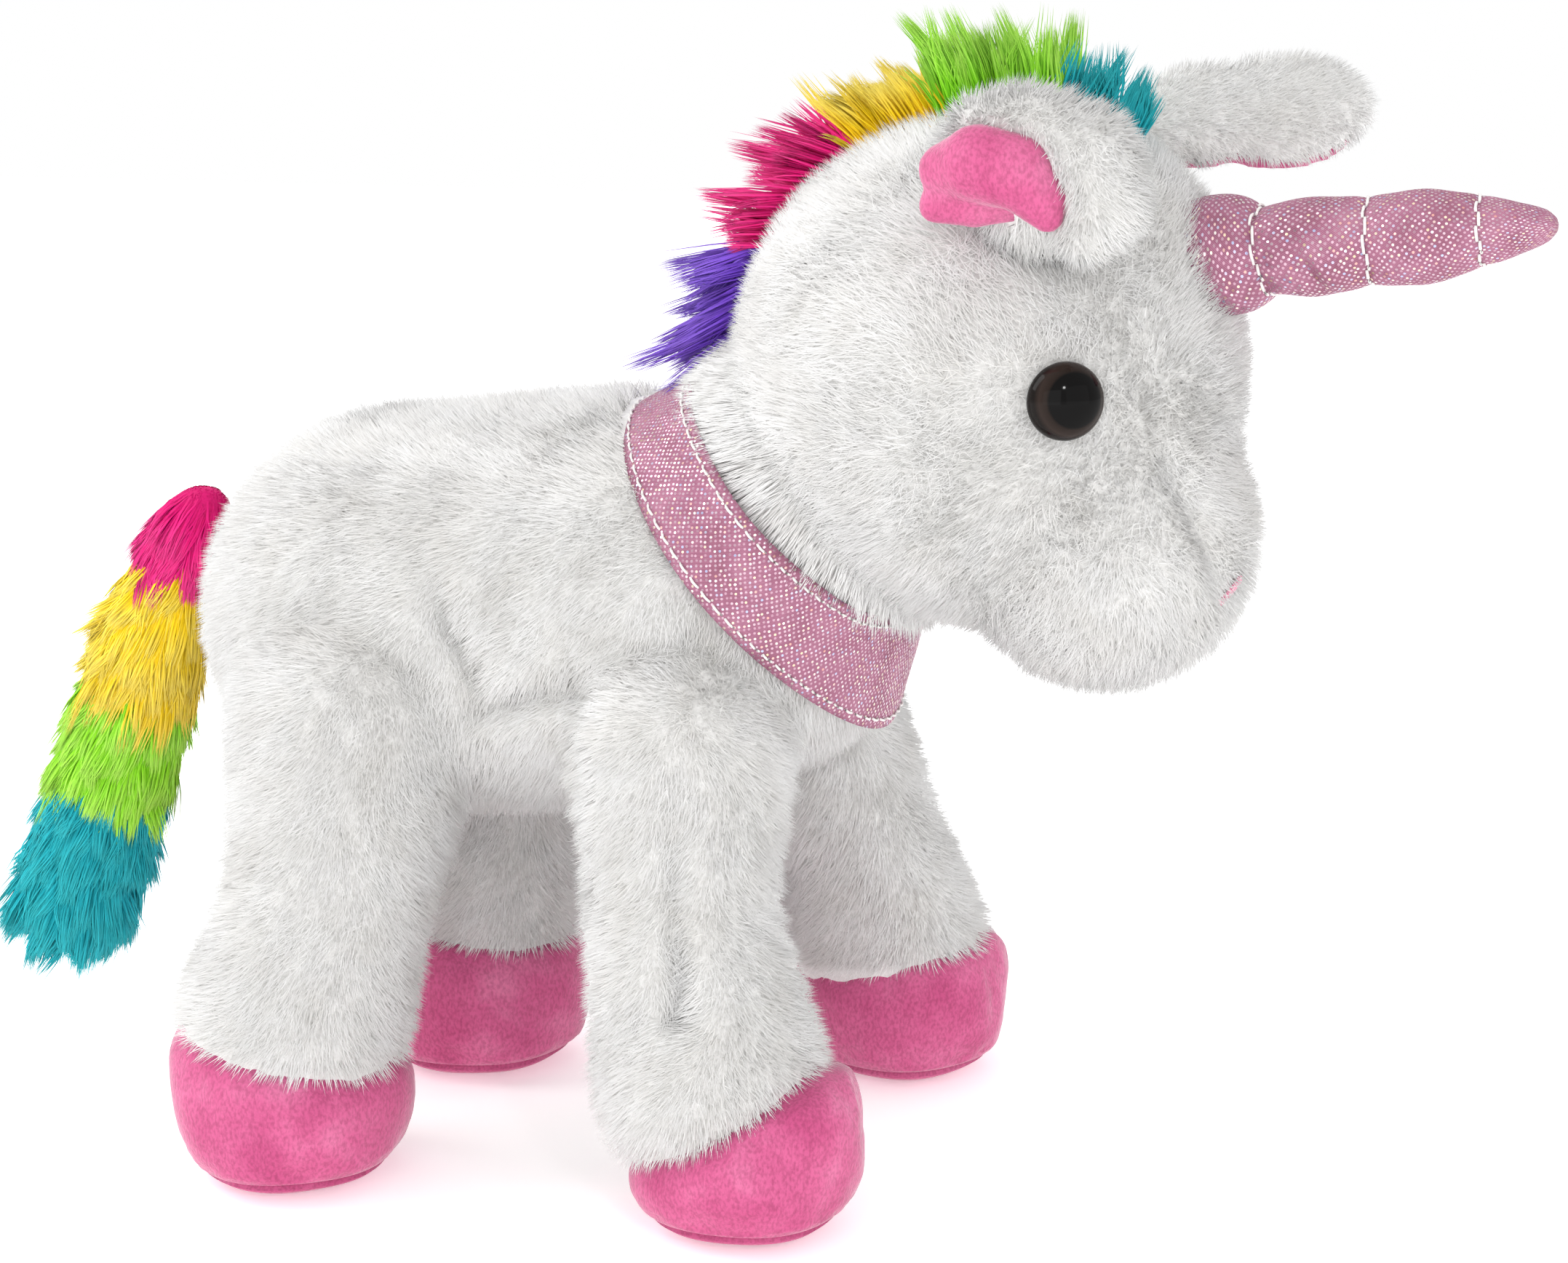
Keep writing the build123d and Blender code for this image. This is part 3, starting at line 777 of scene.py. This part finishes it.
def hoof_mesh(name, number):
    """A hoof's velboa, tucked in under the leg's plush; its number varies its lumps."""
    low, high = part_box(f"hoof_{name}_sole")
    centre = (low + high) / 2
    heights, radii = zip(*HOOF_PROFILE)
    rows = [*range(7), *np.linspace(6, len(heights) - 1, 60)[1:]]
    vertices, turns = [], 72
    for row in rows:
        z = np.interp(row, range(len(heights)), heights)
        r = np.interp(row, range(len(heights)), radii)
        for j in range(turns):
            a = 2 * math.pi * j / turns
            lump = 0.5 * math.sin(2 * a + number) + 0.35 * math.sin(5 * a + z * 0.2 + number * 2)
            above = z - hoof_edge(name, centre.y + r * math.sin(a) * MM)
            tuck = 2.8 * min(1, max(0, (above + 9) / 9)) ** 2
            hidden = min(1, max(0, above / 2)) * max(0, r - 10)
            radius = r + lump * min(1, r / 12) - tuck - hidden
            vertices.append((centre.x + radius * math.cos(a) * MM,
                             centre.y + radius * math.sin(a) * MM, z * MM))
    hoof = mesh_piece(f"hoof_{name}", vertices, tube_faces(len(rows), turns))
    held = [i for i, v in enumerate(vertices)
            if v[2] < HELD_BELOW * MM or v[2] > hoof_edge(name, v[1]) * MM]
    hoof.vertex_groups.new(name="held").add(held, 1.0, "REPLACE")
    return hoof


def build_hooves():
    for number, name in enumerate(LEGS):
        hoof = hoof_mesh(name, number)
        stuff(hoof)
        apply_modifier(hoof, "SMOOTH", factor=0.35, iterations=2)
        bpy.ops.object.shade_smooth()
        dress(hoof, VELBOA)
        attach(hoof, f"leg_{name}")
        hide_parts(f"hoof_{name}_cover", f"hoof_{name}_sole")


# ---- head

# The seam between the forehead gusset and the cheek, on the right side.
FACE_SEAM = [at(-27, -70, 199), at(-33, -74, 184), at(-31, -78, 168), at(-21, -82, 152),
             at(-12, -88, 132)]
SKULL_RADIUS, EYE_RADIUS = 48.5, 7.3
# How far the eyes' domes are from the middle of the skull, where their bare patches are, and
# how far from those and from the neck's pivot the head has no plush; all in mm.
EYE_OUT, PATCH_OUT, PATCH_RADIUS, NECK_BARE = 50.6, 51, 6.3, 36


def build_head():
    rng = np.random.default_rng(SEED + 2)
    parts = [add_ball(SKULL, SKULL_RADIUS, (0.97, 1, 1)), add_ball(at(0, -50, 182), 34)]
    parts += add_chain([(at(0, -52, 150), 34), (at(0, -62.5, 136), 28.2)])
    skin = one_skin("head_cover", parts, 2.5, 12)
    press_folds(skin, [FACE_SEAM], 2.6, 3.0)
    dress(skin, BACKING)
    roots, normals = sow(skin, PLUSH_PER_MM2, rng)
    keep = np.linalg.norm(roots - np.array(NECK), axis=1) >= NECK_BARE * MM
    for side in ("left", "right"):
        eye = SKULL + eye_outward(side) * PATCH_OUT * MM
        keep &= np.linalg.norm(roots - np.array(eye), axis=1) >= PATCH_RADIUS * MM
    roots, normals = roots[keep], normals[keep]
    flow = unit(roots - np.array(MUZZLE)) + np.array([0, 0.1, -0.45])
    pile = plush(roots, normals, flow, rng)
    right = roots[:, 0] < at(0, 0, 0).x
    for piece in (skin, white_fur("head_fur_right", roots, pile, pick=right),
                  white_fur("head_fur_left", roots, pile, pick=~right)):
        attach(piece, "head")
    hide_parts("head_side_left", "head_side_right", "forehead_gusset", "head_stuffing")


def eye_outward(side):
    """The direction from the middle of the skull through an eye."""
    return Vector((43 if side == "left" else -43, -27, 0)).normalized()


def build_eyes():
    for side in ("left", "right"):
        outward = eye_outward(side)
        turn = outward.to_track_quat("Z", "Y")
        bpy.ops.mesh.primitive_uv_sphere_add(segments=64, ring_count=32, radius=EYE_RADIUS * MM)
        eye = bpy.context.object
        eye.name = f"eye_dome_{side}"
        look = turn.inverted() @ Vector((0, -0.9, 0.5)) * MM
        values = []
        for v in eye.data.vertices:
            aside = math.hypot(v.co.x - look.x, v.co.y - look.y)
            values.append(aside / (EYE_RADIUS * MM))
            v.co.z *= 0.62 if v.co.z > 0 else 0.2
        eye.data.attributes.new("pupil", "FLOAT", "POINT").data.foreach_set("value", values)
        place = Matrix.Translation(SKULL + outward * EYE_OUT * MM)
        eye.matrix_world = place @ turn.to_matrix().to_4x4()
        settle(eye)
        bpy.ops.object.shade_smooth()
        dress(eye, EYE_ACRYLIC)
        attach(eye, "head")
        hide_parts(f"eye_{side}")


# Each colour of the mane: its first and last angle over the skull in degrees, from behind up
# and forwards, its pile length in mm, and how far the pile leans back.
MANE = (("purple", 0, 31, 18, 0.95), ("magenta", 29, 60, 14, 0.55), ("yellow", 58, 82, 12, 0.15),
        ("green", 80, 108, 16, 0.15), ("teal", 105, 124, 14.5, 0.15))
MANE_RADIUS = 50


def build_mane():
    rng = np.random.default_rng(SEED + 3)
    per_mm = 60
    for name, first, last, length, lean in MANE:
        count = int((last - first) * math.pi / 180 * MANE_RADIUS * per_mm)
        angle = np.radians(first + (last - first) * rng.random(count))
        aside = np.clip(rng.normal(size=count) * 3.2, -6.5, 6.5)
        out = unit(np.stack([aside / MANE_RADIUS, np.cos(angle), np.sin(angle)], 1))
        roots = np.array(SKULL) + out * SKULL_RADIUS * MM
        back = np.stack([np.zeros(count), np.sin(angle), -np.cos(angle)], 1)
        start = unit(out + back * lean + rng.normal(size=(count, 3)) * 0.1)
        bend = back * 0.1 + rng.normal(size=(count, 3)) * 0.05
        lengths = MM * (length + 3 * rng.random(count))
        bend, lock = gather(roots, start, bend, lengths, 3.6, 0.6, rng)
        swing = rng.normal(size=(count, 3)) * 0.15
        lock_scale = 0.8 + 0.34 * rng.random(count)
        bend = bend + swing[lock] * np.array([1.6, 1, 0.6])
        lengths = lengths * lock_scale[lock]
        widths = MM * (0.4 + 0.25 * rng.random(count))
        piece = hairs(f"mane_pile_{name}", roots, start, bend, lengths, widths,
                      LONG_PILE[name], out * 0.6, steps=3)
        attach(piece, "head")
        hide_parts(f"mane_{name}")
        if name == "green":
            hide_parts("mane_tape")


# ---- tail

# Where each colour of the tail begins and ends, as a share of its length.
TAIL_BANDS = {"magenta": (-9, 0.07), "yellow": (0.07, 0.40), "green": (0.40, 0.68),
              "teal": (0.68, 9)}


def build_tail():
    rng = np.random.default_rng(SEED + 4)
    root, tip = joint("tail_lift"), at(0, 176.5, 42)
    line = tip - root
    down = line.normalized()
    places = [(root + Vector((0, -3, 3)) * MM, 6.5), (root + line * 0.25, 9.0),
              (root + line * 0.6, 10.5), (tip, 10.5)]
    core = one_skin("tail_cover", add_chain(places), 2.0, 6)
    dress(core, LONG_PILE["magenta"])
    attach(core, "tail")
    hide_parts("tail_core")
    roots, normals = sow(core, 4.4, rng)
    along = (roots - np.array(root)) @ np.array(down) / line.length
    along += waves(roots, 14, 6)[0] * 0.012
    for name, (low, high) in TAIL_BANDS.items():
        pick = (along >= low) & (along < high)
        r, n = roots[pick], normals[pick]
        count = len(r)
        start = unit(n * 0.6 + np.array(down) + rng.normal(size=(count, 3)) * 0.12)
        bend = np.array(down) * 0.2 - n * 0.22 + rng.normal(size=(count, 3)) * 0.05
        lengths = MM * (9 + 4 * rng.random(count))
        bend, lock = gather(r, start, bend, lengths, 3.4, 0.5, rng)
        bend = bend + (rng.normal(size=(count, 3)) * 0.13)[lock]
        lengths = lengths * (0.8 + 0.4 * rng.random(count))[lock]
        widths = MM * (0.4 + 0.3 * rng.random(count))
        piece = hairs(f"tail_pile_{name}", r, start, bend, lengths, widths, LONG_PILE[name],
                      n * 0.6, steps=3)
        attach(piece, "tail")
        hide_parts(f"tail_{name}")


# ---- horn, ears and collar

# The horn's waists: how far from its root in mm, and their radius.
HORN_WAISTS = ((9.5, 7.9), (29.0, 7.6), (49.5, 6.0))


def horn_radius(t):
    """The horn's radius at t mm from its root: four stuffed bulges parted by three waists."""
    ends = [(-11, 6.0), *HORN_WAISTS, (62.5, 2.0)]
    bulge = [4.8, 1.6, 1.9, 0.9]
    for (a, ra), (b, rb), swell in zip(ends, ends[1:], bulge):
        if a <= t <= b:
            s = (t - a) / (b - a)
            return ra + (rb - ra) * s + swell * math.sin(math.pi * s) ** 0.6
    return ends[-1][1]


def horn_surface(t, angle):
    """The radius with the wrinkles that the tight waists pull into the cloth, deepest next to
    them, and one dented fold in the second bulge."""
    near = sum(math.exp(-((t - waist) / 3.2) ** 2) for waist, _ in HORN_WAISTS)
    pleat = 0.22 * near * math.sin(9 * angle + 1.3 * math.sin(2 * angle))
    slow = 0.22 * math.sin(3 * angle + 0.25 * t) * math.sin(0.31 * t + angle)
    aside = ((angle - 3.5 + math.pi) % (2 * math.pi)) - math.pi
    fold = -1.3 * math.exp(-((t - 18 - 3 * aside) / 1.5) ** 2 - (aside / 0.6) ** 2)
    lip = 0.7 * math.exp(-((t - 21 - 3 * aside) / 1.6) ** 2 - (aside / 0.6) ** 2)
    return horn_radius(t) + pleat + slow + fold + lip


def horn_place(t, angle, lift=0.0):
    """A point lift mm off the horn's cloth. The waists lean, as they were tied."""
    lean = 1.6 * math.cos(angle + 0.6) * math.exp(-((t - 9.5) / 9) ** 2)
    turn = HORN_LINE.to_track_quat("Z", "Y")
    radius = horn_surface(t, angle) + lift
    local = Vector((radius * math.cos(angle), radius * math.sin(angle), t + lean)) * MM
    return HORN_ROOT + turn @ local


HORN_CLOTH_RADIUS, STITCHES_ROUND_HORN = 8.5, 14
HORN_ROOT = at(0, -83.5, 191.6)
HORN_LINE = (at(0, -146, 199.0) - HORN_ROOT).normalized()


def build_horn():
    straight, turns = 144, 80
    rows = [*np.linspace(-10, 61.5, straight), 62.2, 62.8, 63.2, 63.4]
    close = [1.0] * straight + [0.93, 0.78, 0.5, 0.05]
    vertices, cloth = [], []
    for t, share in zip(rows, close):
        axis = HORN_ROOT + HORN_LINE * t * MM
        for j in range(turns + 1):
            angle = 2 * math.pi * j / turns
            vertices.append(axis + (horn_place(t, angle) - axis) * share)
            cloth.append((angle * HORN_CLOTH_RADIUS, t))
    faces = tube_faces(len(rows), turns, seam=True)
    horn = mesh_piece("horn_cloth", vertices, faces, cloth=cloth)
    apply_modifier(horn, "WELD", merge_threshold=0.01 * MM)
    bpy.ops.object.shade_smooth()
    dress(horn, FOIL)
    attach(horn, "horn")
    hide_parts("horn_cover", "horn_stuffing", "horn_thread")
    for number, (waist, _) in enumerate(HORN_WAISTS):
        stitches = []
        for j in range(STITCHES_ROUND_HORN):
            middle = 2 * math.pi * j / STITCHES_ROUND_HORN
            stitches.append([horn_place(waist + 0.25 * (-1) ** j, middle + f * 0.2,
                                        0.35 - 0.25 * f * f) for f in (-1.1, -0.6, 0, 0.6, 1.1)])
        thread_piece(f"horn_thread_{number + 1}", stitches, 0.3, "horn")


def thread_piece(name, paths, radius, body):
    """Lengths of white sewing thread that follow paths of points, as one mesh."""
    vertices, faces, sides = [], [], 6
    for path in paths:
        faces += tube_faces(len(path), sides, len(vertices))
        for i, point in enumerate(path):
            ahead = (path[min(i + 1, len(path) - 1)] - path[max(i - 1, 0)]).normalized()
            side = ahead.orthogonal().normalized()
            up = ahead.cross(side)
            for j in range(sides):
                a = 2 * math.pi * j / sides
                vertices.append(point + (side * math.cos(a) + up * math.sin(a)) * radius * MM)
    piece = mesh_piece(name, vertices, faces)
    dress(piece, WHITE_THREAD)
    smooth(piece)
    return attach(piece, body)


def ear_layer(side, parts, lining=False):
    """One layer of an ear: its plush back, or its velboa lining."""
    if lining:
        layer = one_skin(f"ear_{side}_velboa", parts, 1.2, 3)
        dress(layer, VELBOA)
    else:
        layer = one_skin(f"ear_{side}_plush", parts, 1.6, 5)
        dress(layer, BACKING)
    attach(layer, f"ear_{side}")
    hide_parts(f"ear_{side}_{'lining' if lining else 'outer'}")
    return layer


def ear_fur(side, skin, lining, facing, length, rng):
    """Plush on the back of an ear, combed round its edge towards where the lining faces."""
    roots, normals = sow(skin, PLUSH_PER_MM2 * 1.3, rng)
    keep = clear_of(roots, lining, 0.3)
    roots, normals = roots[keep], normals[keep]
    flow = np.array(facing) * 0.5 + np.array([0, -0.3, -0.5])
    pile = plush(roots, normals, flow, rng, length)
    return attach(white_fur(f"ear_{side}_fur", roots, pile), f"ear_{side}")


def build_right_ear():
    """It droops sideways with its lining turned out: the rolled edge and, below it, the fold."""
    rng = np.random.default_rng(SEED + 5)
    arch = [(at(-40, -44, 210), 4.5), (at(-42, -48, 217), 5), (at(-44, -58, 218), 6),
            (at(-44, -69, 212), 8), (at(-45, -72, 204), 7), (at(-45, -69, 199), 5)]
    middle = [(at(-30, -56, 204), 12), (at(-42, -60, 208), 9)]
    back = ear_layer("right", add_chain(arch) + add_chain(middle))
    roll = [(at(-47, -43, 209.5), 5), (at(-50, -50, 211), 7.0), (at(-50, -57, 209.5), 6.8),
            (at(-50, -61.5, 205), 5.0), (at(-50, -63, 202), 3.2)]
    deep = [(at(-46, -41, 203), 3.4), (at(-45, -48, 204), 5.0), (at(-44, -54, 204), 4.0)]
    lining = ear_layer("right", add_chain(roll) + add_chain(deep), lining=True)
    ear_fur("right", back, lining, (-0.3, -0.5, -0.2), 3.8, rng)


def flat_leaf(centre, along, face, length, width, thick):
    """A flattened ball: length along, thick through face, all in mm."""
    across = face.cross(along).normalized()
    face = along.cross(across).normalized()
    bpy.ops.mesh.primitive_uv_sphere_add(segments=48, ring_count=24, radius=MM)
    leaf = bpy.context.object
    turn = Matrix((along * length, across * width, face * thick)).transposed()
    leaf.matrix_world = Matrix.Translation(centre) @ turn.to_4x4()
    return settle(leaf)


def build_left_ear():
    """It stands out past the forehead with its plush back turned up, lining underneath."""
    rng = np.random.default_rng(SEED + 6)
    along = Vector((0.56, -0.80, 0.12)).normalized()
    face = Vector((-0.72, -0.40, 0.56)).normalized()
    tip = at(45, -86.5, 218)
    parts = [flat_leaf(tip, along, face, 19, 12, 3.6),
             flat_leaf(at(36, -72, 217), along, face, 17, 10.5, 4.2)]
    parts += add_chain([(at(26, -58, 208), 8), (at(32, -66, 213), 6)])
    back = ear_layer("left", parts)
    lower = tip - face * 2.6 * MM - Vector((0, 0, 1.6)) * MM
    under = [flat_leaf(lower, along, face, 18, 11, 2.6),
             flat_leaf(at(36, -72, 215) - face * 3.2 * MM, along, face, 15, 8.4, 2.8)]
    lining = ear_layer("left", under, lining=True)
    ear_fur("left", back, lining, along, 2.8, rng)


def build_neck():
    rng = np.random.default_rng(SEED + 7)
    lower = COLLAR_MIDDLE - (COLLAR_AXIS * 4 + COLLAR_CHEST * 2) * MM
    upper = COLLAR_MIDDLE + (COLLAR_AXIS * 10 - COLLAR_CHEST * 4) * MM
    skin = one_skin("neck_plush", add_chain([(lower, 33.5), (upper, 32)]), 3.0, 3)
    dress(skin, BACKING)
    roots, normals = sow(skin, PLUSH_PER_MM2 * 1.3, rng)
    offset, degrees = collar_offsets(roots)
    keep = (offset - collar_edges(degrees)[1] > -0.3) & (offset < 28)
    roots, normals = roots[keep], normals[keep]
    flow = np.array([0, 0.3, -0.3]) - np.array(COLLAR_AXIS) * 1.4
    start, bend, *rest = plush(roots, normals, flow, rng, 5.0)
    bend = bend - np.array(COLLAR_AXIS) * 0.25
    fur = white_fur("neck_fur", roots, (start, bend, *rest), steps=2)
    for piece in (skin, fur):
        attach(piece, "neck")
    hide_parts("neck_cover", "neck_stuffing")


def collar_grid():
    """The collar's cloth, wound once round the neck, before its ends are welded together."""
    columns, rows = 240, 14
    vertices, faces, cloth = [], [], []
    for j in range(columns + 1):
        degrees = 360 * j / columns - 180
        low, high = collar_edges(degrees)
        for i in range(rows + 1):
            offset = low + (high - low) * i / rows
            edge = min(i, rows - i) / rows
            vertices.append(collar_place(offset, degrees, -0.5 * math.exp(-edge * 14)))
            cloth.append((math.radians(degrees) * COLLAR_CLOTH_RADIUS, offset))
    for j in range(columns):
        for i in range(rows):
            a, b = j * (rows + 1) + i, (j + 1) * (rows + 1) + i
            faces.append([a, b, b + 1, a + 1])
    return mesh_piece("collar_cloth", vertices, faces, cloth=cloth)


def collar_stitches(edge, inset):
    """A row of topstitching inset mm from the lower edge (0) or the upper one (1)."""
    dashes, count = [], 72
    for j in range(count):
        middle = -180 + 360 * (j + 0.5) / count
        path = []
        for f in (-1.85, -1.2, 0, 1.2, 1.85):
            offset = collar_edges(middle + f)[edge] + inset
            path.append(collar_place(offset, middle + f, 0.32 - 0.14 * f * f))
        dashes.append(path)
    thread_piece(f"collar_stitches_{('lower', 'upper')[edge]}", dashes, 0.26, "neck")


def build_collar():
    collar = collar_grid()
    apply_modifier(collar, "WELD", merge_threshold=0.01 * MM)
    apply_modifier(collar, "SOLIDIFY", thickness=1.5 * MM, offset=-1)
    bpy.ops.object.shade_smooth()
    dress(collar, FOIL)
    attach(collar, "neck")
    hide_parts("collar_band", "collar_lining", "collar_topstitch")
    collar_stitches(0, 1.9)
    collar_stitches(1, -1.9)


# ---- frame nodes and scene

def dress_frame_nodes():
    """A finish for the CAD nodes that show, or that lie inside."""
    finishes = {"mane_tape": LINING, "nose_stitches": PINK_THREAD,
                "closing_seam_thread": WHITE_THREAD}
    for name, node in frame["nodes"].items():
        material = finishes.get(name, WASHER_PLASTIC if "washer" in name else FILLING)
        node.data.materials.clear()
        node.data.materials.append(material)


def look(thing, place, aim):
    """Puts a lamp or the camera at a place, aimed at another."""
    thing.location = place
    thing.rotation_euler = (aim - place).to_track_quat("-Z", "Y").to_euler()


# Area lamps: name, place and size in metres, and power in watts.
LAMPS = (("key", (-0.3, 1.0, 1.0), 0.9, 8.5), ("fill", (-1.2, -0.2, 0.15), 0.9, 2),
         ("front", (-0.6, -1.1, 0.2), 1.0, 1), ("catch", (-1.1, -0.8, 0.75), 0.1, 2.2))
LAMPS_AIM = Vector((0, 0, 0.1))


def build_stage():
    bpy.ops.mesh.primitive_plane_add(size=6, location=(0, 0, 0))
    floor = bpy.context.object
    floor.name = "floor"
    white = (1, 1, 1, 1)
    material, _, _ = new_material("studio_floor_white", Base_Color=white, Roughness=1.0,
                                  Specular_IOR_Level=0.0, Emission_Color=white,
                                  Emission_Strength=0.35)
    floor.data.materials.append(material)
    world = bpy.data.worlds.new("studio")
    bpy.context.scene.world = world
    world.use_nodes = True
    background = world.node_tree.nodes["Background"]
    background.inputs["Color"].default_value = white
    background.inputs["Strength"].default_value = 1.0
    for name, place, size_m, power in LAMPS:
        lamp = bpy.data.lights.new(name, "AREA")
        lamp.size, lamp.energy = size_m, power
        look(new_object(name, lamp), Vector(place), LAMPS_AIM)


def build_camera():
    camera = bpy.data.cameras.new("camera")
    camera.lens, camera.sensor_width = 70.16, 36
    camera_object = new_object("camera", camera)
    look(camera_object, at(-579.7, -205.9, 240), at(-27.7, -5, 118))
    bpy.context.scene.camera = camera_object
    bpy.context.scene.view_settings.view_transform = "Standard"


dress_frame_nodes()
build_body()
build_hooves()
build_head()
build_eyes()
build_mane()
build_tail()
build_horn()
build_right_ear()
build_left_ear()
build_neck()
build_collar()
build_stage()
build_camera()
